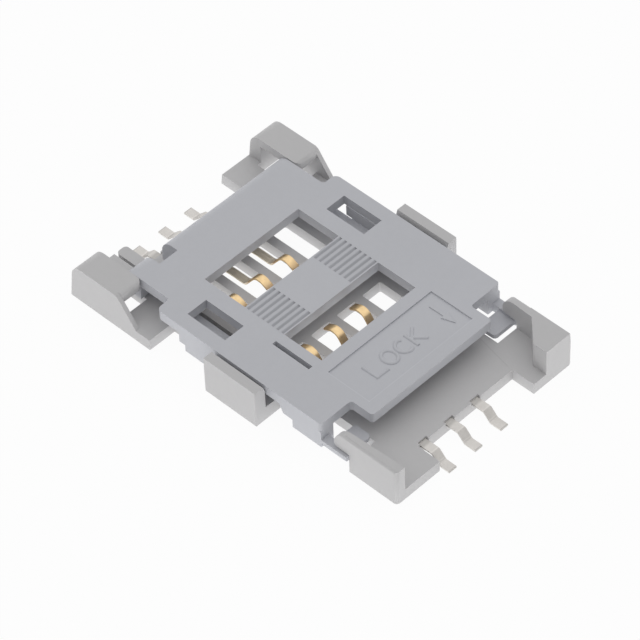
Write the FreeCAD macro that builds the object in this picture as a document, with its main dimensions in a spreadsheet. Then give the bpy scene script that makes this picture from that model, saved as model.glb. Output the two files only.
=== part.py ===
import FreeCAD, Part
import math
import os
from types import SimpleNamespace

import Sketcher

# Card connector for a 15 mm wide card, in millimetres.
# +X is the front, +Y the left side, +Z up. The origin lies on the board face, halfway between
# the two rows of contacts and in the middle of their four places.

SIZES = [
    ("card_width", "15.0", "card that the cover carries"),
    ("card_thick", "0.76", "thickness of that card"),
    ("card_side_play", "0.12", "between the card and each skirt"),
    ("card_height_play", "0.19", "between the card and the plate above it"),
    ("floor_thick", "0.95", "base floor"),
    ("slab_gap", "0.12", "between the floor's side and each skirt"),
    ("slab_rear", "11.4", "centre to the floor's rear edge, between the feet"),
    ("slab_front", "14.15", "centre to the floor's front edge, between the feet"),
    ("base_rear", "13.7", "centre to the rear end of the base"),
    ("base_front", "16.12", "centre to the front end of the base"),
    ("base_half", "9.86", "half the width over the rear blocks"),
    ("end_draft", "0.122", "inward lean of the rear end per millimetre of height"),
    ("foot_front", "5.88", "centre to the front edge of the rear feet"),
    ("foot_inner_left", "4.87", "middle to the inner side of the left rear foot"),
    ("foot_inner_right", "5.75", "middle to the inner side of the right rear foot"),
    ("finger_rear", "13.6", "centre to the rear end of the small finger"),
    ("finger_middle", "5.08", "middle to the finger's middle"),
    ("finger_width", "0.92", "width of the finger"),
    ("finger_round", "0.3", "rounding of the finger's free corners"),
    ("block_height", "3.2", "top of the rear blocks"),
    ("block_wall", "0.34", "outer wall of a rear block"),
    ("end_wall", "1.3", "rear end wall of a rear block"),
    ("roof_thick", "0.7", "roof of a rear block"),
    ("roof_front", "8.65", "centre to the front edge of that roof"),
    ("roof_gap", "0.05", "between a roof and the narrow end of the cover"),
    ("slope_top", "8.91", "centre to the top of the outer wall's slope"),
    ("slope_foot", "7.19", "centre to the foot of that slope"),
    ("slope_round", "0.52", "rounding at the top of that slope"),
    ("end_round", "1.0", "rounding at the top of the rear end"),
    ("roof_corner", "0.5", "rounding of the roof's inner front corner, in plan"),
    ("edge_round", "0.3", "rounding of the roof's front edge"),
    ("well_front", "8.8", "centre to the front end of the hole under a roof"),
    ("well_inner", "7.25", "middle to the inner side of that hole"),
    ("hook_start", "-0.45", "rear end of the side hooks"),
    ("hook_length", "4.85", "length of the side hooks"),
    ("hook_height", "3.24", "top of the side hooks"),
    ("hook_wall", "0.95", "thickness of a hook's wall"),
    ("hook_gap", "0.15", "between a hook and the skirt beside it"),
    ("hook_shelf", "1.18", "top of the shelf that carries a hook"),
    ("hook_lead", "0.17", "lead-in at the top of a hook, across"),
    ("hook_lead_height", "0.44", "lead-in at the top of a hook, down"),
    ("post_face", "11.77", "centre to the rear face of the front blocks"),
    ("post_height", "3.15", "top of the front blocks"),
    ("post_outer", "8.56", "middle to the outer face of the front blocks"),
    ("post_thick", "0.8", "wall of a front block at its front end"),
    ("post_taper", "0.25", "how far that wall thins towards its nose"),
    ("post_corner", "0.3", "rounding of the right front block's outer front corner, in plan"),
    ("post_top_round", "0.2", "rounding of a front block's top outer edge"),
    ("nose_reach", "1.35", "how far a nose overhangs the rail below it"),
    ("nose_gap", "0.06", "between a nose and the rail below it"),
    ("nose_round", "1.1", "rounding at the top of a nose's tip"),
    ("nose_under_round", "0.36", "rounding at the bottom of a nose's tip"),
    ("front_inner_left", "4.9", "middle to the inner side of the left front foot"),
    ("front_inner_right", "4.42", "middle to the inner side of the right front foot"),
    ("flare_reach", "0.4", "how far the left front block widens towards its foot"),
    ("flare_top", "2.9", "height where that widening starts"),
    ("flare_corner", "0.6", "rounding of that block's outer front corner, in plan"),
    ("key_inner", "6.12", "middle to the inner side of the cut-corner key"),
    ("key_length", "1.18", "length of that side"),
    ("key_outer", "8.5", "middle to the outer side of the key"),
    ("gap_rear", "7.5", "centre to the rear end of the side openings of the floor"),
    ("gap_inner", "6.07", "middle to the inner side of those openings"),
    ("groove_inner", "5.54", "middle to the groove in the floor beside the rear lips"),
    ("groove_outer", "5.98", "middle to the outer side of that groove"),
    ("groove_floor", "0.3", "height of that groove's bottom"),
    ("contact_pitch", "2.54", "spacing of the contacts across"),
    ("slot_width", "1.8", "width of a contact slot"),
    ("slot_shift", "0.12", "from a contact's middle to its slot's middle"),
    ("slot_inner", "1.9", "centre to the inner end of the slots"),
    ("slot_outer", "7.3", "centre to the outer end of the slots"),
    ("slot_round", "0.15", "rounding of the slots' corners"),
    ("strip_thick", "0.15", "sheet of the contacts"),
    ("strip_width", "0.72", "width of the tails"),
    ("beam_width", "0.62", "width of the spring beams"),
    ("strip_gap", "0.01", "between a contact and the floor around it"),
    ("mouth_depth", "0.24", "depth of the open mouth where a tail leaves the floor"),
    ("mouth_play", "0.06", "between a tail and each side of that mouth"),
    ("strip_top", "0.79", "top of a contact inside the floor"),
    ("beam_top", "0.88", "top of a contact's beam"),
    ("tail_rear", "13.48", "centre to the tips of the rear tails"),
    ("tail_front", "16.75", "centre to the tips of the front tails"),
    ("tail_foot", "0.95", "flat foot of a tail"),
    ("tail_rise", "0.62", "run of a tail's upward bend"),
    ("tail_bend", "0.16", "radius of the tails' bends, mid-sheet"),
    ("beam_root", "0.12", "from a slot's outer end to the beam's first bend"),
    ("beam_start", "6.4", "centre to the outer end of the beam's flat"),
    ("beam_end", "4.9", "centre to the inner end of that flat"),
    ("beam_bend", "0.5", "radius of the beam's bends, mid-sheet"),
    ("peak_place", "3.75", "centre to the crown of the contact arc"),
    ("peak_height", "2.35", "height where the two flanks of the arc would meet"),
    ("peak_bend", "0.75", "radius of the arc, mid-sheet"),
    ("tip_place", "2.7", "centre to the free end"),
    ("tip_height", "1.8", "height of the free end"),
    ("travel", "1.8", "how far the cover slides back to unlock"),
    ("plate_thick", "0.8", "cover plate"),
    ("cover_rear", "10.6", "centre to the rear end of the cover"),
    ("cover_end_round", "1.1", "rounding at the top of that end"),
    ("stop_face", "9.0", "centre to the stop that the card meets"),
    ("narrow_half", "7.57", "half the width of the plate's narrow rear end"),
    ("wide_rear", "6.1", "centre to the rear edge of the wide part"),
    ("wide_front", "9.45", "centre to the front edge of the wide part"),
    ("tongue_front", "11.4", "centre to the front edge of the tongue"),
    ("tongue_half", "5.87", "half the width of the tongue"),
    ("plate_round", "0.45", "rounding of the wide part's corners"),
    ("inner_round", "0.25", "rounding of the plate's inner corners"),
    ("notch_inner", "3.92", "middle to the inner side of the rear notch"),
    ("notch_outer", "5.66", "middle to the outer side of that notch"),
    ("skirt_thick", "1.18", "side skirts"),
    ("skirt_bottom", "0.88", "lower edge of the skirts"),
    ("skirt_rear", "3.98", "centre to the rear end of the skirts"),
    ("skirt_step", "0.55", "length of the step at that end"),
    ("skirt_step_rise", "0.57", "height of that step"),
    ("skirt_end_gap", "0.25", "between a skirt and the rear of the hook beside it"),
    ("travel_spare", "0.57", "left between skirt and hook when unlocked"),
    ("arch_length", "0.85", "length of the raised stretch in front of the hook"),
    ("arch_gap", "0.42", "how far that stretch clears the hook's shelf"),
    ("arch_slant", "0.35", "length of the slant that leads up from it to the plate"),
    ("rail_height", "0.72", "height of the front rails"),
    ("rail_width", "0.7", "width of the front rails"),
    ("rail_gap", "0.02", "between a rail's end and the front block"),
    ("rail_round", "0.42", "rounding of the rail's lower front corner"),
    ("rail_bevel", "0.2", "bevel along the rail's lower outer edge, across"),
    ("rail_bevel_height", "0.42", "bevel along that edge, up"),
    ("lip_inner", "6.1", "middle to the inner edge of the card lips"),
    ("lip_rear", "5.6", "centre to the rear end of the rear lips"),
    ("lip_gap", "0.07", "between the card lips and the floor"),
    ("lip_thick", "0.36", "card lips"),
    ("front_lip_rear", "9.98", "centre to the rear side of the front lips"),
    ("front_lip_length", "1.5", "length of the front lips"),
    ("lip_round", "0.3", "rounding of the lips' free corners"),
    ("window_half", "4.59", "half the width of the windows"),
    ("window_rear", "5.65", "centre to the rear end of the rear window"),
    ("window_front", "5.5", "centre to the front end of the front window"),
    ("bridge_rear", "1.75", "centre to the rear edge of the bridge"),
    ("bridge_front", "2.0", "centre to the front edge of the bridge"),
    ("grip_inner", "1.95", "middle to the inner end of the grip grooves"),
    ("grip_depth", "0.16", "depth of the grip grooves"),
    ("grip_width", "0.26", "width of a groove at the top"),
    ("grip_grooves", "8", "grooves on each side of the bridge"),
    ("pocket_rear", "4.2", "centre to the rear end of the side pockets"),
    ("pocket_front", "0.6", "centre to the front end of the side pockets"),
    ("pocket_inner", "5.9", "middle to the inner side of the side pockets"),
    ("pocket_outer", "7.68", "middle to the outer side of the side pockets"),
    ("slit_rear", "1.98", "centre to the rear end of the slit"),
    ("slit_length", "3.43", "length of the slit"),
    ("slit_middle", "5.58", "middle to the slit"),
    ("slit_width", "0.35", "width of the slit"),
    ("panel_rear", "6.53", "centre to the rear edge of the sunk panel"),
    ("panel_length", "3.82", "length of the sunk panel"),
    ("panel_half", "5.07", "half the width of the sunk panel"),
    ("panel_depth", "0.12", "depth of the sunk panel"),
    ("stop_floor_gap", "0.12", "between the cover's rear end and the floor"),
    ("pin_radius", "0.42", "hinge pins"),
    ("pin_gap", "0.05", "between the pins and the roof above them"),
    ("pin_length", "0.68", "length of the pins"),
]


class Size:
    """A length: the spreadsheet formula that drives it, and what it comes to now."""

    def __init__(self, formula, value):
        self.formula = formula
        self.value = value

    def __add__(self, other):
        return combined(self, "+", other)

    def __radd__(self, other):
        return combined(other, "+", self)

    def __sub__(self, other):
        return combined(self, "-", other)

    def __rsub__(self, other):
        return combined(other, "-", self)

    def __mul__(self, other):
        return combined(self, "*", other)

    def __rmul__(self, other):
        return combined(other, "*", self)

    def __truediv__(self, other):
        return combined(self, "/", other)

    def __neg__(self):
        return combined(-1, "*", self)


def size_of(amount):
    """Lets a plain number stand beside the named sizes."""
    if isinstance(amount, Size):
        return amount
    return Size(f"({amount})", float(amount))


def combined(first, sign, second):
    """One size worked out from two, both as a formula and as a value."""
    first = size_of(first)
    second = size_of(second)
    values = {
        "+": first.value + second.value,
        "-": first.value - second.value,
        "*": first.value * second.value,
        "/": first.value / second.value if second.value else 0.0,
    }
    return Size(f"({first.formula} {sign} {second.formula})", values[sign])


def fill_sheet(document):
    """Writes the driving sizes into the document's sheet and hands them back by name."""
    sheet = document.addObject("Spreadsheet::Sheet", "Sizes")
    named = SimpleNamespace()
    for row, (name, text, meaning) in enumerate(SIZES, start=1):
        sheet.set(f"A{row}", meaning)
        sheet.set(f"B{row}", text)
        sheet.setAlias(f"B{row}", name)
        setattr(named, name, Size(f"Sizes.{name}", float(text)))
    document.recompute()
    return named


doc = FreeCAD.newDocument("CardConnector")
s = fill_sheet(doc)

# Sizes that several pieces share.
skirt_inner = s.card_width / 2 + s.card_side_play
skirt_outer = skirt_inner + s.skirt_thick
slab_half = skirt_inner - s.slab_gap
hook_inner = skirt_outer + s.hook_gap
hook_outer = hook_inner + s.hook_wall
hook_end = s.hook_start + s.hook_length
roof_inner = s.narrow_half + s.roof_gap
roof_under = s.block_height - s.roof_thick
block_inner = s.base_half - s.block_wall
lip_bottom = s.floor_thick + s.lip_gap
lip_top = lip_bottom + s.lip_thick
plate_under = lip_top + s.card_thick + s.card_height_play
plate_top = plate_under + s.plate_thick
rail_top = s.skirt_bottom + s.rail_height
nose_under = rail_top + s.nose_gap
nose_tip = s.post_face - s.nose_reach
stop_bottom = s.floor_thick + s.stop_floor_gap
pin_height = roof_under - s.pin_gap - s.pin_radius
TRIM_SPARE = 0.1
CONTACT_PLACES = (-1.5, -0.5, 0.5)

LEFT = 1
RIGHT = -1
SIDE_NAMES = {LEFT: "Left", RIGHT: "Right"}

# Each drawing plane: its name in a body's origin, and whether its normal follows the axis.
PLANES = {"XY": ("XY_Plane", 1), "XZ": ("XZ_Plane", -1), "YZ": ("YZ_Plane", 1)}


def new_body(label):
    """An empty body whose label names the sub-part."""
    body = doc.addObject("PartDesign::Body", label)
    body.Label = label
    return body


def new_sketch(body, name, plane, level):
    """A sketch on one of the body's own planes, moved along that plane's axis to a level."""
    role, sense = PLANES[plane]
    sketch = body.newObject("Sketcher::SketchObject", name)
    support = next(item for item in body.Origin.OriginFeatures if item.Role == role)
    sketch.AttachmentSupport = [(support, "")]
    sketch.MapMode = "FlatFace"
    sketch.setExpression("AttachmentOffset.Base.z", (size_of(level) * sense).formula)
    return sketch


def hold(sketch, kind, places, size, name):
    """Adds one dimension to a sketch and ties it to its size."""
    index = sketch.addConstraint(Sketcher.Constraint(kind, *places, size.value))
    sketch.renameConstraint(index, name)
    sketch.setExpression(f"Constraints.{name}", size.formula)


class Corner:
    """A corner of an outline, sharp or rounded by a radius."""

    def __init__(self, across, up, radius=None):
        self.across = size_of(across)
        self.up = size_of(up)
        self.radius = radius
        self.point = FreeCAD.Vector(self.across.value, self.up.value, 0)
        self.entry = self.point
        self.exit = self.point
        self.arc = None

    def round_off(self, before, after):
        """Works out the arc that touches both lines which meet here."""
        back = (before.point - self.point).normalize()
        onward = (after.point - self.point).normalize()
        half_angle = back.getAngle(onward) / 2
        reach = self.radius.value / math.tan(half_angle)
        middle = (back + onward).normalize()
        centre = self.point + middle * (self.radius.value / math.sin(half_angle))
        self.entry = self.point + back * reach
        self.exit = self.point + onward * reach
        turns_left = back.cross(onward).z < 0
        first, last = (self.entry, self.exit) if turns_left else (self.exit, self.entry)
        start = angle_of(first - centre)
        sweep = (angle_of(last - centre) - start) % (2 * math.pi)
        circle = Part.Circle(centre, FreeCAD.Vector(0, 0, 1), self.radius.value)
        self.arc = Part.ArcOfCircle(circle, start, start + sweep)
        self.entry_end, self.exit_end = (1, 2) if turns_left else (2, 1)


def angle_of(direction):
    """The direction's angle in the sketch, from its first axis."""
    return math.atan2(direction.y, direction.x)


def draw(sketch, corners, closed=True):
    """Joins the corners with lines and arcs, every corner dimensioned from the origin."""
    corners = [Corner(*corner) for corner in corners]
    count = len(corners)
    for place, corner in enumerate(corners):
        if corner.radius is not None:
            corner.round_off(corners[place - 1], corners[(place + 1) % count])
    sides = count if closed else count - 1
    lines = []
    for place in range(sides):
        start = corners[place].exit
        end = corners[(place + 1) % count].entry
        lines.append(sketch.addGeometry(Part.LineSegment(start, end), False))
    for place, corner in enumerate(corners):
        has_before = closed or place > 0
        has_after = closed or place < count - 1
        if corner.arc is not None:
            arc = sketch.addGeometry(corner.arc, False)
            mark = sketch.addGeometry(Part.Point(corner.point), True)
            before, after = lines[place - 1], lines[place]
            sketch.addConstraint(Sketcher.Constraint("Tangent", before, 2, arc, corner.entry_end))
            sketch.addConstraint(Sketcher.Constraint("Tangent", arc, corner.exit_end, after, 1))
            sketch.addConstraint(Sketcher.Constraint("PointOnObject", mark, 1, before))
            sketch.addConstraint(Sketcher.Constraint("PointOnObject", mark, 1, after))
            hold(sketch, "Radius", (arc,), corner.radius, f"round{place}")
            anchor = (mark, 1)
        else:
            if has_before and has_after:
                joint = Sketcher.Constraint("Coincident", lines[place - 1], 2, lines[place], 1)
                sketch.addConstraint(joint)
            anchor = (lines[place], 1) if has_after else (lines[place - 1], 2)
        hold(sketch, "DistanceX", anchor, corner.across, f"across{place}")
        hold(sketch, "DistanceY", anchor, corner.up, f"up{place}")


def mirrored(corners, side):
    """The same outline on the other side of the middle, for a plan."""
    return [(corner[0], corner[1] * side, *corner[2:]) for corner in corners]


def turned(corners, sense):
    """The same outline with its first measure taken the given way."""
    return [(corner[0] * sense, *corner[1:]) for corner in corners]


def across_span(side, inner, outer):
    """The two levels along Y of something that lies between inner and outer on one side."""
    return (inner, outer) if side == LEFT else (-outer, -inner)


def fill(body, name, plane, low, high, corners):
    """Adds the outline's solid between two levels along the plane's axis."""
    sketch = new_sketch(body, f"{name}Sketch", plane, high if plane == "XZ" else low)
    draw(sketch, corners)
    pad = body.newObject("PartDesign::Pad", name)
    pad.Profile = sketch
    pad.setExpression("Length", (size_of(high) - low).formula)
    return pad


def cut(body, name, plane, low, high, corners):
    """Takes the outline's solid away between two levels along the plane's axis."""
    sketch = new_sketch(body, f"{name}Sketch", plane, high if plane == "XZ" else low)
    draw(sketch, corners)
    pocket = body.newObject("PartDesign::Pocket", name)
    pocket.Profile = sketch
    pocket.Reversed = True
    pocket.setExpression("Length", (size_of(high) - low).formula)
    return pocket


def box_outline(left, right, low, high, radius=None):
    """The four corners of a rectangle."""
    rounding = () if radius is None else (radius,)
    return [
        (left, low, *rounding),
        (right, low, *rounding),
        (right, high, *rounding),
        (left, high, *rounding),
    ]


def corner_trim(across, up, toward_across, toward_up, radius):
    """What to cut away to round a corner whose block lies toward the two given senses."""
    return [
        (across - toward_across * TRIM_SPARE, up - toward_up * TRIM_SPARE),
        (across - toward_across * TRIM_SPARE, up + toward_up * (radius + TRIM_SPARE)),
        (across, up + toward_up * (radius + TRIM_SPARE)),
        (across, up, radius),
        (across + toward_across * (radius + TRIM_SPARE), up),
        (across + toward_across * (radius + TRIM_SPARE), up - toward_up * TRIM_SPARE),
    ]


def repeat(body, name, feature, axis, pitch, count):
    """Repeats a feature along one of the body's axes."""
    pattern = body.newObject("PartDesign::LinearPattern", name)
    pattern.Originals = [feature]
    direction = next(item for item in body.Origin.OriginFeatures if item.Role == f"{axis}_Axis")
    pattern.Direction = (direction, [""])
    pattern.setExpression("Length", (pitch * (count - 1)).formula)
    pattern.Occurrences = count
    body.Tip = pattern
    return pattern


def base_housing():
    """The moulded base: floor, feet, corner blocks, side hooks and contact slots."""
    body = new_body("base_housing")
    floor = s.floor_thick
    fill(body, "Floor", "XY", 0, floor, box_outline(-s.slab_rear, s.slab_front, -slab_half, slab_half))
    for side, foot_inner in ((LEFT, s.foot_inner_left), (RIGHT, s.foot_inner_right)):
        rear_foot(body, side, foot_inner)
        rear_block(body, side)
        side_hook(body, side)
    for side, foot_inner in ((LEFT, s.front_inner_left), (RIGHT, s.front_inner_right)):
        front_foot(body, side, foot_inner)
        front_block(body, side)
        side_opening(body, side)
        side_groove(body, side)
    side_flare(body)
    front_corner(body, LEFT, s.post_outer + s.flare_reach, s.flare_corner)
    front_corner(body, RIGHT, s.post_outer, s.post_corner)
    corner_key(body)
    finger_near = s.finger_middle - s.finger_width / 2
    finger_far = s.finger_middle + s.finger_width / 2
    finger = [
        (-s.slab_rear, -finger_near),
        (-s.finger_rear, -finger_near, s.finger_round),
        (-s.finger_rear, -finger_far, s.finger_round),
        (-s.slab_rear, -finger_far),
    ]
    fill(body, "Finger", "XY", 0, floor, finger)
    contact_slots(body)
    return body


def rear_foot(body, side, foot_inner):
    """A flat rear foot with the hole that its block's core pin left in the floor."""
    name = f"{SIDE_NAMES[side]}RearFoot"
    lean = s.end_draft * s.floor_thick
    profile = [
        (-s.base_rear, 0),
        (-s.foot_front, 0),
        (-s.foot_front, s.floor_thick),
        (lean - s.base_rear, s.floor_thick),
    ]
    fill(body, name, "XZ", *across_span(side, foot_inner, s.base_half), profile)
    hole = box_outline(-s.base_rear + s.end_wall, -s.well_front, s.well_inner, block_inner)
    cut(body, f"{name}Hole", "XY", 0, s.floor_thick, mirrored(hole, side))


def rear_block(body, side):
    """The rear corner: a roof that holds the hinge pin down, with an end wall and a side wall."""
    name = f"{SIDE_NAMES[side]}RearBlock"
    top_lean = s.end_draft * s.block_height
    end_wall_front = s.end_wall - s.base_rear
    roof = [
        (-s.base_rear, 0),
        (end_wall_front, 0),
        (end_wall_front, roof_under),
        (-s.roof_front, roof_under),
        (-s.roof_front, s.block_height, s.edge_round),
        (top_lean - s.base_rear, s.block_height, s.end_round),
    ]
    fill(body, f"{name}Roof", "XZ", *across_span(side, roof_inner, block_inner), roof)
    corner = mirrored(corner_trim(-s.roof_front, roof_inner, -1, 1, s.roof_corner), side)
    cut(body, f"{name}RoofCorner", "XY", roof_under, s.block_height, corner)
    wall = [
        (-s.base_rear, 0),
        (-s.slope_foot, 0),
        (-s.slope_foot, s.floor_thick),
        (-s.slope_top, s.block_height, s.slope_round),
        (top_lean - s.base_rear, s.block_height, s.end_round),
    ]
    fill(body, f"{name}Wall", "XZ", *across_span(side, block_inner, s.base_half), wall)


def side_hook(body, side):
    """A shelf beside the floor with an upright wall that guides the skirt, closed at its rear."""
    name = f"{SIDE_NAMES[side]}Hook"
    profile = [
        (slab_half, 0),
        (hook_outer, 0),
        (hook_outer, s.hook_height),
        (hook_inner + s.hook_lead, s.hook_height),
        (hook_inner, s.hook_height - s.hook_lead_height),
        (hook_inner, s.hook_shelf),
        (slab_half, s.hook_shelf),
    ]
    fill(body, name, "YZ", s.hook_start, hook_end, turned(profile, side))


def front_foot(body, side, foot_inner):
    """A flat front foot."""
    plan = box_outline(s.post_face, s.base_front, foot_inner, s.post_outer)
    name = f"{SIDE_NAMES[side]}FrontFoot"
    fill(body, name, "XY", 0, s.floor_thick, mirrored(plan, side))


def front_block(body, side):
    """The front corner wall, whose nose holds the rail down when the cover is locked."""
    name = f"{SIDE_NAMES[side]}FrontBlock"
    inner = s.post_outer - s.post_thick
    profile = [
        (s.post_face, 0),
        (s.base_front, 0),
        (s.base_front, s.post_height),
        (nose_tip, s.post_height, s.nose_round),
        (nose_tip, nose_under, s.nose_under_round),
        (s.post_face, nose_under),
    ]
    fill(body, name, "XZ", *across_span(side, inner, s.post_outer), profile)
    lead = [
        (s.base_front, inner),
        (nose_tip, inner + s.post_taper),
        (nose_tip, inner - s.post_taper),
        (s.base_front, inner - s.post_taper),
    ]
    cut(body, f"{name}Lead", "XY", s.floor_thick, s.post_height, mirrored(lead, side))
    edge = corner_trim(s.post_outer, s.post_height, -1, -1, s.post_top_round)
    cut(body, f"{name}Edge", "YZ", nose_tip, s.base_front, turned(edge, side))


def side_flare(body):
    """The outer face of the left front block, which widens towards its foot."""
    inner = s.post_outer - s.post_thick / 2
    profile = [
        (inner, 0),
        (s.post_outer + s.flare_reach, 0),
        (s.post_outer + s.flare_reach, s.floor_thick),
        (s.post_outer, s.flare_top),
        (inner, s.flare_top),
    ]
    fill(body, "LeftFlare", "YZ", s.post_face, s.base_front, profile)


def front_corner(body, side, outer, radius):
    """Rounds the upright corner of a front block."""
    corner = mirrored(corner_trim(s.base_front, outer, -1, -1, radius), side)
    cut(body, f"{SIDE_NAMES[side]}FrontCorner", "XY", 0, s.post_height, corner)


def side_opening(body, side):
    """The opening in the floor that the front lip and the rail reach down into."""
    name = f"{SIDE_NAMES[side]}Opening"
    plan = box_outline(s.gap_rear, s.post_face, s.gap_inner, slab_half)
    cut(body, name, "XY", 0, s.floor_thick, mirrored(plan, side))


def side_groove(body, side):
    """The narrow groove in the floor along the inner edge of a rear lip."""
    plan = box_outline(-s.lip_rear - s.travel, s.hook_start, s.groove_inner, s.groove_outer)
    name = f"{SIDE_NAMES[side]}LipGroove"
    cut(body, name, "XY", s.groove_floor, s.floor_thick, mirrored(plan, side))


def corner_key(body):
    """The slanted block that lets the card in one way round only."""
    key_rear = s.base_front - s.key_length
    rise = s.key_outer - s.key_inner
    plan = [
        (s.base_front, s.key_inner),
        (s.base_front, s.key_outer),
        (key_rear - rise, s.key_outer),
        (key_rear, s.key_inner),
    ]
    fill(body, "CornerKey", "XY", 0, s.post_height, plan)


def contact_slots(body):
    """Two rows of slots through the floor, and the channels that hold the contacts."""
    half = s.slot_width / 2
    middle = -s.contact_pitch * 1.5
    slot_middle = middle + s.slot_shift
    slot = box_outline(
        s.slot_inner,
        s.slot_outer,
        slot_middle - half,
        slot_middle + half,
        s.slot_round,
    )
    front = cut(body, "FrontSlot", "XY", 0, s.floor_thick, slot)
    repeat(body, "FrontSlots", front, "Y", s.contact_pitch, 4)
    rear = cut(body, "RearSlot", "XY", 0, s.floor_thick, turned(slot, -1))
    repeat(body, "RearSlots", rear, "Y", s.contact_pitch, 4)
    reach = s.strip_width / 2 + s.strip_gap
    channel = box_outline(
        middle - reach,
        middle + reach,
        s.strip_top - s.strip_thick - s.strip_gap,
        s.strip_top + s.strip_gap,
    )
    held = len(CONTACT_PLACES)
    front = cut(body, "FrontChannel", "YZ", s.slot_outer, s.slab_front, channel)
    repeat(body, "FrontChannels", front, "Y", s.contact_pitch, held)
    rear = cut(body, "RearChannel", "YZ", -s.slab_rear, -s.slot_outer, channel)
    repeat(body, "RearChannels", rear, "Y", s.contact_pitch, held)
    mouth_reach = s.strip_width / 2 + s.mouth_play
    mouth_low = s.strip_top - s.strip_thick - s.strip_gap
    for row, inner, outer in (
        ("Front", s.slab_front - s.mouth_depth, s.slab_front),
        ("Rear", -s.slab_rear, s.mouth_depth - s.slab_rear),
    ):
        plan = box_outline(inner, outer, middle - mouth_reach, middle + mouth_reach)
        mouth = cut(body, f"{row}Mouth", "XY", mouth_low, s.floor_thick, plan)
        repeat(body, f"{row}Mouths", mouth, "Y", s.contact_pitch, held)


def spring_contact(label, sense, place, tail_end):
    """One stamped contact: solder tail, stretch held in the floor, sprung beam and arc."""
    body = new_body(label)
    middle = s.contact_pitch * place
    half = s.strip_thick / 2
    held_height = s.strip_top - half
    foot_end = tail_end - s.tail_foot
    path = [
        (tail_end, half),
        (foot_end, half, s.tail_bend),
        (foot_end - s.tail_rise, held_height, s.tail_bend),
        (s.slot_outer - s.beam_root, held_height, s.beam_bend),
        (s.beam_start, s.beam_top - half, s.beam_bend),
        (s.beam_end, s.beam_top - half, s.beam_bend),
        (s.peak_place, s.peak_height, s.peak_bend),
        (s.tip_place, s.tip_height),
    ]
    spine = new_sketch(body, "Centreline", "XZ", middle)
    draw(spine, turned(path, sense), closed=False)
    section = new_sketch(body, "Section", "YZ", tail_end * sense)
    reach = s.strip_width / 2
    draw(section, box_outline(middle - reach, middle + reach, 0, s.strip_thick))
    strip = body.newObject("PartDesign::AdditivePipe", "Strip")
    strip.Profile = section
    strip.Spine = (spine, [])
    narrowing = (s.strip_width - s.beam_width) / 2
    for side in (LEFT, RIGHT):
        edge = middle + reach * side
        trim = box_outline(s.tip_place - s.strip_thick, s.slot_outer, edge - narrowing, edge + narrowing)
        cut(body, f"{SIDE_NAMES[side]}Trim", "XY", 0, plate_under, turned(trim, sense))
    return body


def slide_cover():
    """The moulded cover: plate, windows, skirts, rails, card lips, grips and hinge pins."""
    body = new_body("slide_cover")
    right_edge = [
        (-s.stop_face, -s.narrow_half),
        (-s.wide_rear, -s.narrow_half, s.inner_round),
        (-s.wide_rear, -skirt_outer, s.plate_round),
        (s.wide_front, -skirt_outer, s.inner_round),
        (s.wide_front, -s.tongue_half, s.inner_round),
        (s.tongue_front, -s.tongue_half, s.inner_round),
    ]
    left_edge = [(corner[0], -corner[1], *corner[2:]) for corner in reversed(right_edge)]
    fill(body, "Plate", "XY", plate_under, plate_top, right_edge + left_edge)
    rear_stop(body)
    for side in (LEFT, RIGHT):
        skirt(body, side)
        front_rail(body, side)
        card_lips(body, side)
        hinge_pin(body, side)
        side_pocket(body, side)
    windows(body)
    finger_grips(body)
    notch = box_outline(-s.cover_rear, -s.stop_face, -s.notch_outer, -s.notch_inner)
    cut(body, "RearNotch", "XY", stop_bottom, plate_top, notch)
    slit = box_outline(
        s.slit_rear,
        s.slit_rear + s.slit_length,
        -s.slit_middle - s.slit_width / 2,
        -s.slit_middle + s.slit_width / 2,
    )
    cut(body, "Slit", "XY", plate_under, plate_top, slit)
    panel = box_outline(s.panel_rear, s.panel_rear + s.panel_length, -s.panel_half, s.panel_half)
    cut(body, "SunkPanel", "XY", plate_top - s.panel_depth, plate_top, panel)
    return body


def skirt(body, side):
    """A side skirt, open beside the hook and raised in front of it."""
    low = s.skirt_bottom
    step = low + s.skirt_step_rise
    low_end = s.hook_start - s.skirt_end_gap
    rear = [
        (-s.skirt_rear, plate_under),
        (-s.skirt_rear, step),
        (s.skirt_step - s.skirt_rear, step),
        (s.skirt_step - s.skirt_rear, low),
        (low_end, low),
        (low_end, plate_under),
    ]
    front_low = hook_end + s.travel + s.travel_spare
    arch_rear = front_low - s.arch_length
    over_shelf = s.hook_shelf + s.arch_gap
    front = [
        (arch_rear - s.arch_slant, plate_under),
        (arch_rear, over_shelf),
        (front_low, over_shelf),
        (front_low, low),
        (s.wide_front, low),
        (s.wide_front, plate_under),
    ]
    name = f"{SIDE_NAMES[side]}Skirt"
    span = across_span(side, skirt_inner, skirt_outer)
    fill(body, f"{name}Rear", "XZ", *span, rear)
    fill(body, f"{name}Front", "XZ", *span, front)


def front_rail(body, side):
    """The rail that slides under a front nose and stops against its block."""
    end = s.post_face - s.rail_gap
    profile = [
        (s.wide_front, s.skirt_bottom),
        (end, s.skirt_bottom, s.rail_round),
        (end, rail_top),
        (s.wide_front, rail_top),
    ]
    name = f"{SIDE_NAMES[side]}Rail"
    fill(body, name, "XZ", *across_span(side, skirt_outer - s.rail_width, skirt_outer), profile)
    bevel = [
        (skirt_outer, s.skirt_bottom),
        (skirt_outer, s.skirt_bottom + s.rail_bevel_height),
        (skirt_outer - s.rail_bevel, s.skirt_bottom),
    ]
    cut(body, f"{name}Bevel", "YZ", s.wide_front, end, turned(bevel, side))


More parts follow.
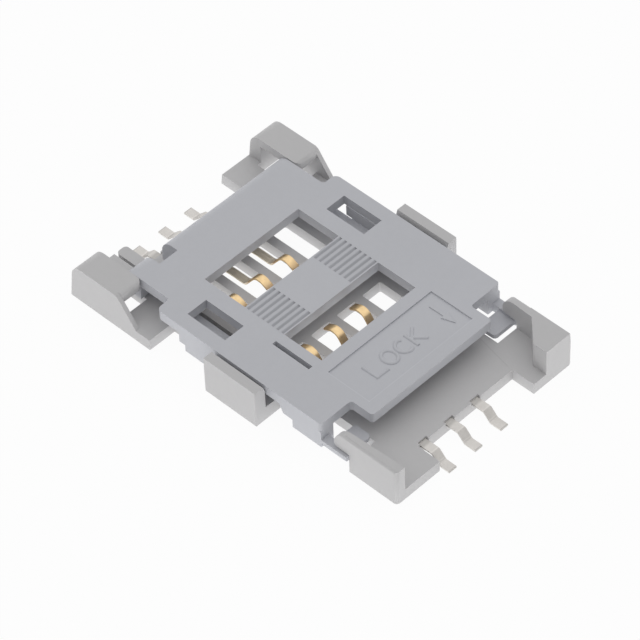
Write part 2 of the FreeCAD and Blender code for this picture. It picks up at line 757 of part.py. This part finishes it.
def card_lips(body, side):
    """The two lips on each side that the card rests on."""
    rear = box_outline(-s.lip_rear, s.hook_start - s.skirt_end_gap, s.lip_inner, skirt_inner)
    name = f"{SIDE_NAMES[side]}Lip"
    fill(body, f"{name}Rear", "XY", lip_bottom, lip_top, mirrored(rear, side))
    front_end = s.front_lip_rear + s.front_lip_length
    front = [
        (s.front_lip_rear, s.lip_inner, s.lip_round),
        (front_end, s.lip_inner, s.lip_round),
        (front_end, skirt_outer - s.rail_width),
        (s.front_lip_rear, skirt_outer - s.rail_width),
    ]
    fill(body, f"{name}Front", "XY", lip_bottom, lip_top, mirrored(front, side))


def rear_stop(body):
    """The round rear end that the cover turns on, with the stop that the card meets."""
    profile = [
        (-s.stop_face, stop_bottom),
        (-s.cover_rear, stop_bottom, s.inner_round),
        (-s.cover_rear, plate_top, s.cover_end_round),
        (-s.stop_face, plate_top),
    ]
    fill(body, "RearStop", "XZ", -s.narrow_half, s.narrow_half, profile)


def hinge_pin(body, side):
    """The pin that turns under a rear block's roof."""
    name = f"{SIDE_NAMES[side]}Pin"
    low, high = across_span(side, s.narrow_half, s.narrow_half + s.pin_length)
    pin_place = s.cover_rear - s.cover_end_round
    sketch = new_sketch(body, f"{name}Sketch", "XZ", high)
    centre = FreeCAD.Vector(-pin_place.value, pin_height.value, 0)
    circle = Part.Circle(centre, FreeCAD.Vector(0, 0, 1), s.pin_radius.value)
    ring = sketch.addGeometry(circle, False)
    hold(sketch, "Radius", (ring,), s.pin_radius, "radius")
    hold(sketch, "DistanceX", (ring, 3), -pin_place, "across")
    hold(sketch, "DistanceY", (ring, 3), pin_height, "up")
    pin = body.newObject("PartDesign::Pad", name)
    pin.Profile = sketch
    pin.setExpression("Length", (high - low).formula)


def side_pocket(body, side):
    """The opening above a rear lip, which its core came through."""
    plan = box_outline(-s.pocket_rear, -s.pocket_front, s.pocket_inner, s.pocket_outer)
    cut(body, f"{SIDE_NAMES[side]}Pocket", "XY", plate_under, plate_top, mirrored(plan, side))


def windows(body):
    """The two windows over the contact arcs, with the bridge between them."""
    half = s.window_half
    rear = box_outline(-s.window_rear, -s.bridge_rear, -half, half)
    front = box_outline(s.bridge_front, s.window_front, -half, half)
    cut(body, "RearWindow", "XY", plate_under, plate_top, rear)
    cut(body, "FrontWindow", "XY", plate_under, plate_top, front)


def finger_grips(body):
    """Rows of grooves across the bridge that the fingertip pushes on."""
    grooves = int(s.grip_grooves.value)
    pitch = (s.bridge_front + s.bridge_rear) / grooves
    half = s.grip_width / 2
    middle = pitch / 2 - s.bridge_rear
    groove = [
        (middle - half, plate_top),
        (middle, plate_top - s.grip_depth),
        (middle + half, plate_top),
    ]
    for side in (LEFT, RIGHT):
        name = f"{SIDE_NAMES[side]}Groove"
        first = cut(body, name, "XZ", *across_span(side, s.grip_inner, s.window_half), groove)
        repeat(body, f"{name}s", first, "X", pitch, grooves)


def faults(body):
    """What is wrong with a finished body, if anything."""
    marks = {"Invalid", "Error"}
    found = [item.Name for item in body.Group + [body] if marks & set(item.State)]
    if body.Shape.isNull() or not body.Shape.isValid():
        found.append(f"{body.Label} has no valid shape")
    if len(body.Shape.Solids) != 1:
        found.append(f"{body.Label} has {len(body.Shape.Solids)} solids")
    return found


parts = [base_housing(), slide_cover()]
for row, sense, tail_end in (("rear", -1, s.tail_rear), ("front", 1, s.tail_front)):
    for number, place in enumerate(CONTACT_PLACES, start=1):
        parts.append(spring_contact(f"contact_{row}_{number}", sense, place, tail_end))
doc.recompute()

problems = [problem for body in parts for problem in faults(body)]
if problems:
    raise RuntimeError("; ".join(problems))

os.makedirs("parts", exist_ok=True)
for body in parts:
    body.Shape.exportStep(f"parts/{body.Label}.step")
    box = body.Shape.BoundBox
    print(body.Label, round(body.Shape.Volume, 3), [round(v, 3) for v in (
        box.XMin, box.XMax, box.YMin, box.YMax, box.ZMin, box.ZMax)])
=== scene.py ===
import math

import bpy
from mathutils import Matrix, Vector


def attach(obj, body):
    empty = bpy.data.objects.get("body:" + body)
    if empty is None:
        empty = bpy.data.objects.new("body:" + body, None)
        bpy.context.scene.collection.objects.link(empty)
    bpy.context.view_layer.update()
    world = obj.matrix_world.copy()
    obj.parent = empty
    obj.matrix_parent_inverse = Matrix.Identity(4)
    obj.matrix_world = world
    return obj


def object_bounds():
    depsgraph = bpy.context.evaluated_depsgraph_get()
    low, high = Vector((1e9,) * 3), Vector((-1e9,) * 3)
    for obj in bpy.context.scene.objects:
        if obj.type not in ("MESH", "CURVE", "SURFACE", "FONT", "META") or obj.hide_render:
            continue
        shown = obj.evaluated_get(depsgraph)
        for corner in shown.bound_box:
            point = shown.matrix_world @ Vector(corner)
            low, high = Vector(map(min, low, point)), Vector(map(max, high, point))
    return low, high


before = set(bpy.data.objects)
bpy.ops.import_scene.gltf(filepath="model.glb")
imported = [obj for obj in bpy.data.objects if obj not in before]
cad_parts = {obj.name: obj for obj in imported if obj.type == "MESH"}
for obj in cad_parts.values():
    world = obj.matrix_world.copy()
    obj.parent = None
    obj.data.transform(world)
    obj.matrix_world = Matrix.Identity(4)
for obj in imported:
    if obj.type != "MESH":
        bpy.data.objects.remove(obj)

CAD_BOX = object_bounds()

# A millimetre in metres, Blender's unit. Values in millimetres are multiplied by it where they
# are used. +X is the connector's front, +Y its left side, +Z up from the board.
MM = 0.001

# Camera, as the photograph was taken: a long lens, looking down on the front right corner.
VIEW_AZIMUTH = math.radians(45.744)
VIEW_ELEVATION = math.radians(46.886)
VIEW_ROLL = math.radians(-2.323)
VIEW_DISTANCE = 277.895 * MM
VIEW_SHIFT_RIGHT = 0.551 * MM
VIEW_SHIFT_DOWN = 0.333 * MM
FOCAL_PIXELS = 4034
IMAGE_PIXELS = 640
SENSOR_WIDTH_MM = 36.0

# The nearest and the farthest that the camera shows, in metres.
CLIP_START = 0.01
CLIP_END = 10.0

# Places on the cover, in millimetres: its top, the sunk panel in it and the finger grips.
PLATE_TOP = 3.13
PANEL_SURFACE = 3.01
PANEL_FRONT = 10.35
PANEL_RIGHT = -5.07
GRIP_REAR = -1.72
GRIP_FRONT = 1.96
GRIP_INNER = 1.92
GRIP_OUTER = 4.7

# The grips are painted a little darker, and much darker in their grooves between two heights:
# painted shade.
GRIP_END_FADE = 0.04
GRIP_SIDE_FADE = 0.03
GROOVE_LOW = PLATE_TOP - 0.3
GROOVE_HIGH = PLATE_TOP - 0.01
GROOVE_FADE = 0.05
GRIP_SHADE = 0.02
GROOVE_SHADE = 0.17

# A painted highlight along the panel's front and right edges, on a strip a little outside and
# inside them. The front strip fades out at both sides, and the right one runs back from the
# front.
PANEL_HIGHLIGHT_OUT = 0.09
PANEL_HIGHLIGHT_IN = 0.02
PANEL_HIGHLIGHT_FADE = 0.03
PANEL_HIGHLIGHT_LENGTH = 3.9
PANEL_HIGHLIGHT_SIDES = (5.1, 5.16)
PANEL_HIGHLIGHT_TOP_FADE = 0.02
PANEL_HIGHLIGHT_PALER = 0.08

# The top of the moulded floor, and the weld line on its front, in millimetres. On the line,
# across + WELD_SLANT * along is WELD_PLACE.
FLOOR_TOP = 0.95
FLOOR_REACH = 0.03
FLOOR_FADE = 0.02
WELD_SLANT = 0.2
WELD_PLACE = 7.68
WELD_HALF_WIDTH = 0.06
WELD_FADE = 0.05
WELD_REAR = 8.0
WELD_FRONT = 13.9
WELD_END_FADE = 0.3
WELD_DARKER = 0.1

# The two plastics, each with the shade that it takes in its flow marks.
BASE_COLOUR = (0.55, 0.545, 0.55, 1.0)
BASE_SHADE = (0.533, 0.529, 0.533, 1.0)
COVER_COLOUR = (0.54, 0.547, 0.58, 1.0)
COVER_SHADE = (0.524, 0.531, 0.563, 1.0)

# The patterns in the plastics: their sizes in millimetres, then what each adds to the tone and
# to the surface.
FLOW_SIZE = 6.0
MOTTLE_SIZE = 0.5
GRAIN_SIZE = 0.11
FLECK_SIZE = 0.035
PLAIN_TONE = 0.95
FLOW_TONE = 0.05
MOTTLE_TONE = 0.04
GRAIN_TONE = 0.05
NOISE_MIDDLE = 0.5
SHADE_IN_FLOW = (0.4, 0.7)
PLASTIC_ROUGHNESS = 0.47
GRAIN_ROUGHNESS = 0.12
GRAIN_RELIEF = 0.7
FLECK_RELIEF = 0.3

# The depth of the relief in both materials, in millimetres, and how strongly each shows it.
RELIEF_DEPTH = 0.004
PLASTIC_RELIEF = 0.55
METAL_RELIEF = 0.5

# The contacts' metals.
GOLD = (0.85, 0.63, 0.35, 1.0)
# A darker gold: painted shade on the flanks of the arcs.
SHADED_GOLD = (0.60, 0.43, 0.25, 1.0)
ALLOY = (0.84, 0.76, 0.61, 1.0)
TIN = (0.67, 0.645, 0.615, 1.0)

# Where the metals meet, in millimetres. The gold is painted darker with the distance from the
# arcs' crowns: painted shade on their flanks.
# It ends, and the tin begins, at distances from the middle of the connector. The edges are
# ragged by a share of the cloudy pattern.
CROWN_PLACE = 3.55
GOLD_SHADE_REACH = (0.55, 1.1)
GOLD_ENDS = (4.75, 5.25)
GOLD_RAGGED = 0.5
TIN_BEGINS = (9.4, 9.8)
TIN_RAGGED = 0.4

# The patterns in the metal: their sizes in millimetres, then what each adds to the tone, and
# how the tin and the bare alloy differ from the gold.
CLOUD_SIZE = 0.6
ROLLED_SIZE = 0.05
PATCH_SIZE = 0.3
METAL_TONE = 0.82
CLOUD_TONE = 0.2
PATCH_TONE = 0.32
BARE_TONE = 0.14
TIN_LESS_METALLIC = 0.2
BARE_LESS_METALLIC = 0.3
METAL_ROUGHNESS = 0.3
ROLLED_ROUGHNESS = 0.14
TIN_ROUGHNESS = 0.06

# Along a front and a rear tail of the contacts, in millimetres: where it leaves the floor, both
# ends of its slope in rising order, and its cut tip.
FRONT_TAIL = (14.15, 15.18, 15.8, 16.75)
REAR_TAIL = (-11.4, -12.53, -11.91, -13.48)

# Marks on the tails: painted shadow where they leave the floor, painted shade on the slope,
# darker at the cut tip, and a painted highlight behind each fold.
ROOT_SHADOW_REACH = (0.1, 0.4)
ROOT_SHADOW = 0.3
SLOPE_BEFORE = 0.06
SLOPE_AFTER = 0.02
SLOPE_FADE = 0.08
SLOPE_SHADE = 0.2
TIP_REACH = (0.04, 0.1)
TIP_DARKER = 0.24
FOLD_START = 0.16
FOLD_END = 0.04
FOLD_FADE = 0.05
FOLD_HIGHLIGHT = 0.1

# The rounding of the edges, in millimetres. Corners closer than SAME_POINT are joined and faces
# flatter than FLAT_ANGLE made one first, and only edges sharper than SHARP_ANGLE are rounded.
BASE_ROUNDING = 0.045
COVER_ROUNDING = 0.028
CONTACT_ROUNDING = 0.012
ARROW_ROUNDING = 0.045
ROUNDING_STEPS = 2
SAME_POINT = 0.0001
FLAT_ANGLE = math.radians(1)
SHARP_ANGLE = math.radians(32)
AREA_WEIGHT = 100

# The raised lettering on the panel, in millimetres: low strokes whose round backs are sunk in
# the surface. The round letters are a little lower than the straight ones.
LETTER_TOP = 7.87
LETTER_FOOT = 9.25
ROUND_LETTER_SHARE = 0.92
ROUND_HALF_WIDTH = 0.53
STROKE_HALF_WIDTH = 0.155
STROKE_HALF_HEIGHT = 0.15
STROKE_SINK = 0.05
STROKE_STEPS = 4

# The letters' own places across the panel, and points along and across it.
L_STEM = -3.13
L_TOE = -2.03
O_CENTRE = -1.2
C_CENTRE = 0.12
C_UPPER_END = (8.06, 0.4)
C_LOWER_END = (9.12, 0.5)
K_STEM = 0.92
K_STEM_START = LETTER_TOP + 0.06
K_ARM_END = (LETTER_TOP - 0.05, 1.77)
K_ARM_START = 8.62
K_LEG_START = (8.44, 1.08)
K_LEG_END = 1.84

# The raised arrow: its outline along and across the panel, from the right corner of its tail
# round by the tip, and how far it rises above the panel and is sunk in it.
ARROW_OUTLINE = (
    (7.36, 3.93),
    (8.66, 3.96),
    (8.66, 3.7),
    (9.74, 4.08),
    (8.66, 4.46),
    (8.66, 4.2),
    (7.36, 4.2),
)
ARROW_RISE = 0.08
ARROW_SINK = 0.03

# The light: a lit table under the connector, and a soft sky that is brightest overhead and
# leans to the far side of the connector.
WHITE = (1, 1, 1, 1)
TABLE_COLOUR = (0.93, 0.93, 0.93, 1.0)
TABLE_GLOW = 1.46
TABLE_WHITENESS = 0.94
SKY_TOP = 1.08
SKY_EDGE = 0.1
SKY_LEAN = 0.3

# Half the table's width in metres, and its distance below the connector in millimetres.
TABLE_HALF_WIDTH = 1.5
TABLE_GAP = 0.01

# The Mix node's colour sockets by number, as other data types have sockets of the same names.
MIX_FACTOR = 0
MIX_FIRST = 6
MIX_SECOND = 7
MIX_RESULT = 2


def camera():
    """The camera of the photograph."""
    azimuth, elevation = VIEW_AZIMUTH, VIEW_ELEVATION
    back = Vector((
        math.sin(azimuth) * math.cos(elevation),
        -math.cos(azimuth) * math.cos(elevation),
        math.sin(elevation),
    ))
    level = Vector((math.cos(azimuth), math.sin(azimuth), 0))
    upright = back.cross(level)
    right = level * math.cos(VIEW_ROLL) + upright * math.sin(VIEW_ROLL)
    up = back.cross(right)
    place = back * VIEW_DISTANCE + right * VIEW_SHIFT_RIGHT - up * VIEW_SHIFT_DOWN
    data = bpy.data.cameras.new("camera")
    data.sensor_width = SENSOR_WIDTH_MM
    data.lens = FOCAL_PIXELS / IMAGE_PIXELS * SENSOR_WIDTH_MM
    data.clip_start = CLIP_START
    data.clip_end = CLIP_END
    eye = bpy.data.objects.new("camera", data)
    turn = Matrix((right, up, back)).transposed().to_4x4()
    eye.matrix_world = Matrix.Translation(place) @ turn
    bpy.context.scene.collection.objects.link(eye)
    bpy.context.scene.camera = eye
    bpy.context.scene.view_settings.view_transform = "Standard"


class Signal:
    """A material's socket that Python's operators work on; each operation adds a Math node."""

    def __init__(self, finish, socket):
        self.finish = finish
        self.socket = socket

    def maths(self, operation, *values):
        node = self.finish.add(
            "ShaderNodeMath",
            {"operation": operation},
            dict(enumerate((self, *values))),
        )
        return node["Value"]

    def __add__(self, other):
        return self.maths("ADD", other)

    def __radd__(self, other):
        return self.maths("ADD", other)

    def __sub__(self, other):
        return self.maths("SUBTRACT", other)

    def __rsub__(self, other):
        return (self * -1.0) + other

    def __mul__(self, other):
        return self.maths("MULTIPLY", other)

    def __rmul__(self, other):
        return self.maths("MULTIPLY", other)

    def __truediv__(self, other):
        return self.maths("DIVIDE", other)

    def __abs__(self):
        return self.maths("ABSOLUTE")

    def step(self, start, end):
        """0 before start, 1 after end, and a smooth rise between them."""
        node = self.finish.add(
            "ShaderNodeMapRange",
            {"interpolation_type": "SMOOTHSTEP"},
            {"Value": self, "From Min": start, "From Max": end},
        )
        return node["Result"]


class Added:
    """A node of a material, whose outputs are read by name or number."""

    def __init__(self, finish, node):
        self.finish = finish
        self.node = node

    def __getitem__(self, name):
        return Signal(self.finish, self.node.outputs[name])


class Finish:
    """The nodes of a material, or of the world, under construction."""

    def __init__(self, owner):
        owner.use_nodes = True
        self.owner = owner
        self.tree = owner.node_tree
        self.tree.nodes.clear()
        self.coordinates = self.add("ShaderNodeTexCoord")
        self.place = self.coordinates["Object"]

    def add(self, kind, settings=None, sockets=None):
        """A node of one kind, its settings made first and then its sockets."""
        node = self.tree.nodes.new(kind)
        for name, value in (settings or {}).items():
            setattr(node, name, value)
        for name, value in (sockets or {}).items():
            if isinstance(value, Signal):
                self.tree.links.new(value.socket, node.inputs[name])
            else:
                node.inputs[name].default_value = value
        return Added(self, node)

    def along(self, axis):
        """The distance along one of the object's axes, in millimetres."""
        split = self.add("ShaderNodeSeparateXYZ", sockets={"Vector": self.place})
        return split[axis] / MM

    def noise(self, size, detail, roughness=0.5):
        """Noise whose features are about size across, from 0 to 1."""
        node = self.add(
            "ShaderNodeTexNoise",
            {"noise_dimensions": "3D"},
            {"Vector": self.place, "Scale": 1.0 / size, "Detail": detail, "Roughness": roughness},
        )
        return node["Fac"]

    def blend(self, mask, first, second):
        """The first colour where the mask is 0 and the second where it is 1."""
        node = self.add(
            "ShaderNodeMix",
            {"data_type": "RGBA"},
            {MIX_FACTOR: mask, MIX_FIRST: first, MIX_SECOND: second},
        )
        return node[MIX_RESULT]

    def brighten(self, colour, amount):
        """A colour scaled by an amount that varies over the surface."""
        both = self.add("ShaderNodeCombineXYZ", sockets={"X": amount, "Y": amount, "Z": amount})
        node = self.add(
            "ShaderNodeVectorMath",
            {"operation": "MULTIPLY"},
            {0: colour, 1: both["Vector"]},
        )
        return node["Vector"]

    def bump(self, height, distance, strength):
        """The surface's normal, raised and lowered by a height."""
        node = self.add(
            "ShaderNodeBump",
            sockets={"Height": height, "Distance": distance, "Strength": strength},
        )
        return node["Normal"]

    def close(self, **sockets):
        """Ends the material with a Principled BSDF and hands the material back."""
        named = {name.replace("_", " "): value for name, value in sockets.items()}
        shader = self.add("ShaderNodeBsdfPrincipled", sockets=named)
        self.add("ShaderNodeOutputMaterial", sockets={"Surface": shader["BSDF"]})
        return self.owner

    def white_for_view(self):
        """1 for the rays that show a surface: seen directly, mirrored or through glass."""
        rays = self.add("ShaderNodeLightPath")
        direct = rays["Is Camera Ray"].maths("MAXIMUM", rays["Is Glossy Ray"])
        return direct.maths("MAXIMUM", rays["Is Transmission Ray"])


def band(value, start, end, fade):
    """1 where a value lies between start and end, fading at both ends inside them."""
    return value.step(start, start + fade) * (1 - value.step(end - fade, end))


def cover_painted_light(finish):
    """Painted shade on the grips, deepest in their grooves, and a painted highlight along the
    panel's front and right edges.
    """
    along, across, height = finish.along("X"), finish.along("Y"), finish.along("Z")
    grip_length = band(along, GRIP_REAR, GRIP_FRONT, GRIP_END_FADE)
    grip = grip_length * band(abs(across), GRIP_INNER, GRIP_OUTER, GRIP_SIDE_FADE)
    # Painted shade: the grips a little darker, and their grooves more.
    groove = grip * band(height, GROOVE_LOW, GROOVE_HIGH, GROOVE_FADE)
    front = band(along, PANEL_FRONT - PANEL_HIGHLIGHT_IN, PANEL_FRONT + PANEL_HIGHLIGHT_OUT, PANEL_HIGHLIGHT_FADE)
    right = band(across, PANEL_RIGHT - PANEL_HIGHLIGHT_OUT, PANEL_RIGHT + PANEL_HIGHLIGHT_IN, PANEL_HIGHLIGHT_FADE)
    reach = band(along, PANEL_FRONT - PANEL_HIGHLIGHT_LENGTH, PANEL_FRONT + PANEL_HIGHLIGHT_OUT, PANEL_HIGHLIGHT_FADE)
    edge = front * (1 - abs(across).step(*PANEL_HIGHLIGHT_SIDES)) + right * reach
    # Painted highlight on the top face along the panel's front and right edges.
    panel_highlight = edge * height.step(PLATE_TOP - PANEL_HIGHLIGHT_TOP_FADE, PLATE_TOP)
    return groove * -GROOVE_SHADE - grip * GRIP_SHADE + panel_highlight * PANEL_HIGHLIGHT_PALER


def base_marks(finish):
    """The faint weld line where the plastic met, slanting back from the left front foot."""
    along, across, height = finish.along("X"), finish.along("Y"), finish.along("Z")
    slanted = across + along * WELD_SLANT
    line = band(slanted, WELD_PLACE - WELD_HALF_WIDTH, WELD_PLACE + WELD_HALF_WIDTH, WELD_FADE)
    length = band(along, WELD_REAR, WELD_FRONT, WELD_END_FADE)
    here = length * band(height, FLOOR_TOP - FLOOR_REACH, FLOOR_TOP + FLOOR_REACH, FLOOR_FADE)
    return line * here * -WELD_DARKER


def moulded_plastic(name, colour, shade, marks):
    """Matt moulded plastic: a fine grain with flecks, faint flow marks and mottling."""
    finish = Finish(bpy.data.materials.new(name))
    flow = finish.noise(FLOW_SIZE * MM, detail=3.0)
    grain = finish.noise(GRAIN_SIZE * MM, detail=3.0, roughness=0.6)
    fleck = finish.noise(FLECK_SIZE * MM, detail=1.0)
    mottle = finish.noise(MOTTLE_SIZE * MM, detail=2.0)
    tone = PLAIN_TONE + flow * FLOW_TONE + mottle * MOTTLE_TONE
    tone = tone + (grain - NOISE_MIDDLE) * GRAIN_TONE
    tinted = finish.blend(flow.step(*SHADE_IN_FLOW), colour, shade)
    relief = grain * GRAIN_RELIEF + fleck * FLECK_RELIEF
    return finish.close(
        # The marks darken or lighten the tone: painted shade and a painted highlight on the
        # cover, a weld line on the base.
        Base_Color=finish.brighten(tinted, tone * (1 + marks(finish))),
        Roughness=PLASTIC_ROUGHNESS + grain * GRAIN_ROUGHNESS,
        Normal=finish.bump(relief, RELIEF_DEPTH * MM, PLASTIC_RELIEF),
        Specular_IOR_Level=0.42,
        IOR=1.5,
    )


def contact_metal():
    """Copper alloy strip: gold on the contact arcs, bare on the beams, tin on the tails; painted
    shade on the arcs' flanks and the tails' roots and slopes, and painted highlights behind the
    tails' folds.
    """
    finish = Finish(bpy.data.materials.new("contact_metal"))
    along = finish.along("X")
    reach = abs(along)
    cloud = finish.noise(CLOUD_SIZE * MM, detail=3.0)
    rolled = finish.noise(ROLLED_SIZE * MM, detail=4.0, roughness=0.65)
    # Painted shade on the arcs' flanks, away from their crowns.
    flank_shade = (abs(reach - CROWN_PLACE) + cloud * GOLD_RAGGED).step(*GOLD_SHADE_REACH)
    bare = (reach + cloud * GOLD_RAGGED).step(*GOLD_ENDS)
    tinned = (reach + cloud * TIN_RAGGED).step(*TIN_BEGINS)
    plating_with_shade = finish.blend(flank_shade, GOLD, SHADED_GOLD)
    colour = finish.blend(tinned, finish.blend(bare, plating_with_shade, ALLOY), TIN)
    patches = finish.noise(PATCH_SIZE * MM, detail=2.0, roughness=0.4)
    tone = METAL_TONE + cloud * CLOUD_TONE + patches * PATCH_TONE * (1 - bare) + bare * BARE_TONE
    for root, start, end, tip in (FRONT_TAIL, REAR_TAIL):
        # Painted shadow at the root, painted shade on the slope and painted highlights behind the
        # folds; the cut tip is darker.
        slope = band(along, start - SLOPE_BEFORE, end + SLOPE_AFTER, SLOPE_FADE)
        tone = tone - (1 - abs(along - root).step(*ROOT_SHADOW_REACH)) * ROOT_SHADOW
        tone = tone - slope * SLOPE_SHADE
        tone = tone - (1 - abs(along - tip).step(*TIP_REACH)) * TIP_DARKER
        for fold in (start, end):
            tone = tone + band(along, fold - FOLD_START, fold - FOLD_END, FOLD_FADE) * FOLD_HIGHLIGHT
    return finish.close(
        Base_Color=finish.brighten(colour, tone),
        Metallic=1 - tinned * TIN_LESS_METALLIC - bare * BARE_LESS_METALLIC,
        Roughness=METAL_ROUGHNESS + rolled * ROLLED_ROUGHNESS + tinned * TIN_ROUGHNESS,
        Normal=finish.bump(rolled, RELIEF_DEPTH * MM, METAL_RELIEF),
    )


def floor_finish():
    """A lit table top: white where it is seen, with the connector's faint shadow left on it."""
    finish = Finish(bpy.data.materials.new("light_table"))
    matt = finish.add("ShaderNodeBsdfDiffuse", sockets={"Color": TABLE_COLOUR})
    white = finish.add("ShaderNodeEmission", sockets={"Color": WHITE, "Strength": 1.0})
    glow = finish.add("ShaderNodeEmission", sockets={"Color": WHITE, "Strength": TABLE_GLOW})
    shown = finish.add(
        "ShaderNodeMixShader",
        sockets={0: TABLE_WHITENESS, 1: matt["BSDF"], 2: white["Emission"]},
    )
    mixed = finish.add(
        "ShaderNodeMixShader",
        sockets={0: finish.white_for_view(), 1: glow["Emission"], 2: shown["Shader"]},
    )
    finish.add("ShaderNodeOutputMaterial", sockets={"Surface": mixed["Shader"]})
    return finish.owner


def floor():
    """The table top that the connector lies on."""
    half = TABLE_HALF_WIDTH
    mesh = bpy.data.meshes.new("floor")
    corners = [(-half, -half, 0), (half, -half, 0), (half, half, 0), (-half, half, 0)]
    mesh.from_pydata(corners, [], [(0, 1, 2, 3)])
    sheet = bpy.data.objects.new("floor", mesh)
    sheet.location.z = CAD_BOX[0][2] - TABLE_GAP * MM
    mesh.materials.append(floor_finish())
    bpy.context.scene.collection.objects.link(sheet)


def daylight():
    """Soft light from above, weaker towards the horizon and the camera, and white to the eye."""
    sky = Finish(bpy.data.worlds.new("studio"))
    split = sky.add("ShaderNodeSeparateXYZ", sockets={"Vector": sky.coordinates["Generated"]})
    height = sky.add(
        "ShaderNodeMapRange",
        sockets={"Value": split["Z"], "To Min": SKY_EDGE, "To Max": SKY_TOP},
    )
    away = split["Y"] * math.cos(VIEW_AZIMUTH) - split["X"] * math.sin(VIEW_AZIMUTH)
    strength = height["Result"] * (1 + away * SKY_LEAN)
    light = sky.add("ShaderNodeBackground", sockets={"Color": WHITE, "Strength": strength})
    white = sky.add("ShaderNodeBackground", sockets={"Color": WHITE, "Strength": 1.0})
    mixed = sky.add(
        "ShaderNodeMixShader",
        sockets={0: sky.white_for_view(), 1: light["Background"], 2: white["Background"]},
    )
    sky.add("ShaderNodeOutputWorld", sockets={"Surface": mixed["Shader"]})
    bpy.context.scene.world = sky.owner


def soften(piece, width):
    """Rounds the edges of a CAD piece a little, as a mould or a punch leaves them."""
    weld = piece.modifiers.new("weld", "WELD")
    weld.merge_threshold = SAME_POINT * MM
    flat = piece.modifiers.new("flat", "DECIMATE")
    flat.decimate_type = "DISSOLVE"
    flat.angle_limit = FLAT_ANGLE
    bevel = piece.modifiers.new("edges", "BEVEL")
    bevel.width = width
    bevel.segments = ROUNDING_STEPS
    bevel.limit_method = "ANGLE"
    bevel.angle_limit = SHARP_ANGLE
    normals = piece.modifiers.new("normals", "WEIGHTED_NORMAL")
    normals.mode = "FACE_AREA"
    normals.weight = AREA_WEIGHT
    for face in piece.data.polygons:
        face.use_smooth = True


def dress(node, material):
    """Gives a CAD node its finish."""
    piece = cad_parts[node]
    piece.data.materials.clear()
    piece.data.materials.append(material)
    return piece


def place_on_panel(piece, material):
    """Lets a piece of the lettering ride on the cover, in the cover's plastic."""
    piece.data.materials.append(material)
    bpy.context.scene.collection.objects.link(piece)
    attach(piece, "cover")


def letter(name, strokes, material):
    """Raised strokes: each a row of points in x and y, with whether it is smooth or closed."""
    data = bpy.data.curves.new(name, "CURVE")
    data.dimensions = "3D"
    data.bevel_depth = STROKE_HALF_WIDTH * MM
    data.bevel_resolution = STROKE_STEPS
    data.use_fill_caps = True
    for points, smooth, closed in strokes:
        spline = data.splines.new("BEZIER")
        spline.bezier_points.add(len(points) - 1)
        spline.use_cyclic_u = closed
        for point, (x, y) in zip(spline.bezier_points, points):
            point.co = (x * MM, y * MM, 0)
            point.handle_left_type = "AUTO" if smooth else "VECTOR"
            point.handle_right_type = "AUTO" if smooth else "VECTOR"
    piece = bpy.data.objects.new(name, data)
    piece.location.z = (PANEL_SURFACE - STROKE_SINK) * MM
    piece.scale.z = STROKE_HALF_HEIGHT / STROKE_HALF_WIDTH
    place_on_panel(piece, material)


def arrow(material):
    """The raised arrow that points to the front, with upright sides."""
    corners = []
    for height in (PANEL_SURFACE - ARROW_SINK, PANEL_SURFACE + ARROW_RISE):
        for x, y in ARROW_OUTLINE:
            corners.append((x * MM, y * MM, height * MM))
    count = len(ARROW_OUTLINE)
    faces = [tuple(reversed(range(count))), tuple(range(count, 2 * count))]
    for first in range(count):
        second = (first + 1) % count
        faces.append((first, second, second + count, first + count))
    mesh = bpy.data.meshes.new("arrow")
    mesh.from_pydata(corners, [], faces)
    piece = bpy.data.objects.new("arrow", mesh)
    rounding = piece.modifiers.new("edges", "BEVEL")
    rounding.width = ARROW_ROUNDING * MM
    rounding.segments = ROUNDING_STEPS
    place_on_panel(piece, material)


def lettering(material):
    """The word LOCK, read from the front of the connector, and an arrow to the front."""
    top, foot = LETTER_TOP, LETTER_FOOT
    middle = (top + foot) / 2
    round_half = (foot - top) / 2 * ROUND_LETTER_SHARE
    corner = [(top, L_STEM), (foot, L_STEM), (foot, L_TOE)]
    letter("letter_L", [(corner, False, False)], material)
    ring = [
        (middle - round_half, O_CENTRE),
        (middle, O_CENTRE + ROUND_HALF_WIDTH),
        (middle + round_half, O_CENTRE),
        (middle, O_CENTRE - ROUND_HALF_WIDTH),
    ]
    letter("letter_O", [(ring, True, True)], material)
    bow = [
        C_UPPER_END,
        (middle - round_half, C_CENTRE),
        (middle, C_CENTRE - ROUND_HALF_WIDTH),
        (middle + round_half, C_CENTRE),
        C_LOWER_END,
    ]
    letter("letter_C", [(bow, True, False)], material)
    stem = [(K_STEM_START, K_STEM), (foot, K_STEM)]
    arm = [K_ARM_END, (K_ARM_START, K_STEM)]
    leg = [K_LEG_START, (foot, K_LEG_END)]
    letter("letter_K", [(stroke, False, False) for stroke in (stem, arm, leg)], material)
    arrow(material)


camera()
daylight()
floor()

base_plastic = moulded_plastic("base_plastic", BASE_COLOUR, BASE_SHADE, base_marks)
cover_plastic = moulded_plastic("cover_plastic", COVER_COLOUR, COVER_SHADE, cover_painted_light)
metal = contact_metal()

soften(dress("base_housing", base_plastic), BASE_ROUNDING * MM)
soften(dress("slide_cover", cover_plastic), COVER_ROUNDING * MM)
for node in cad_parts:
    if node.startswith("contact_"):
        soften(dress(node, metal), CONTACT_ROUNDING * MM)
lettering(cover_plastic)
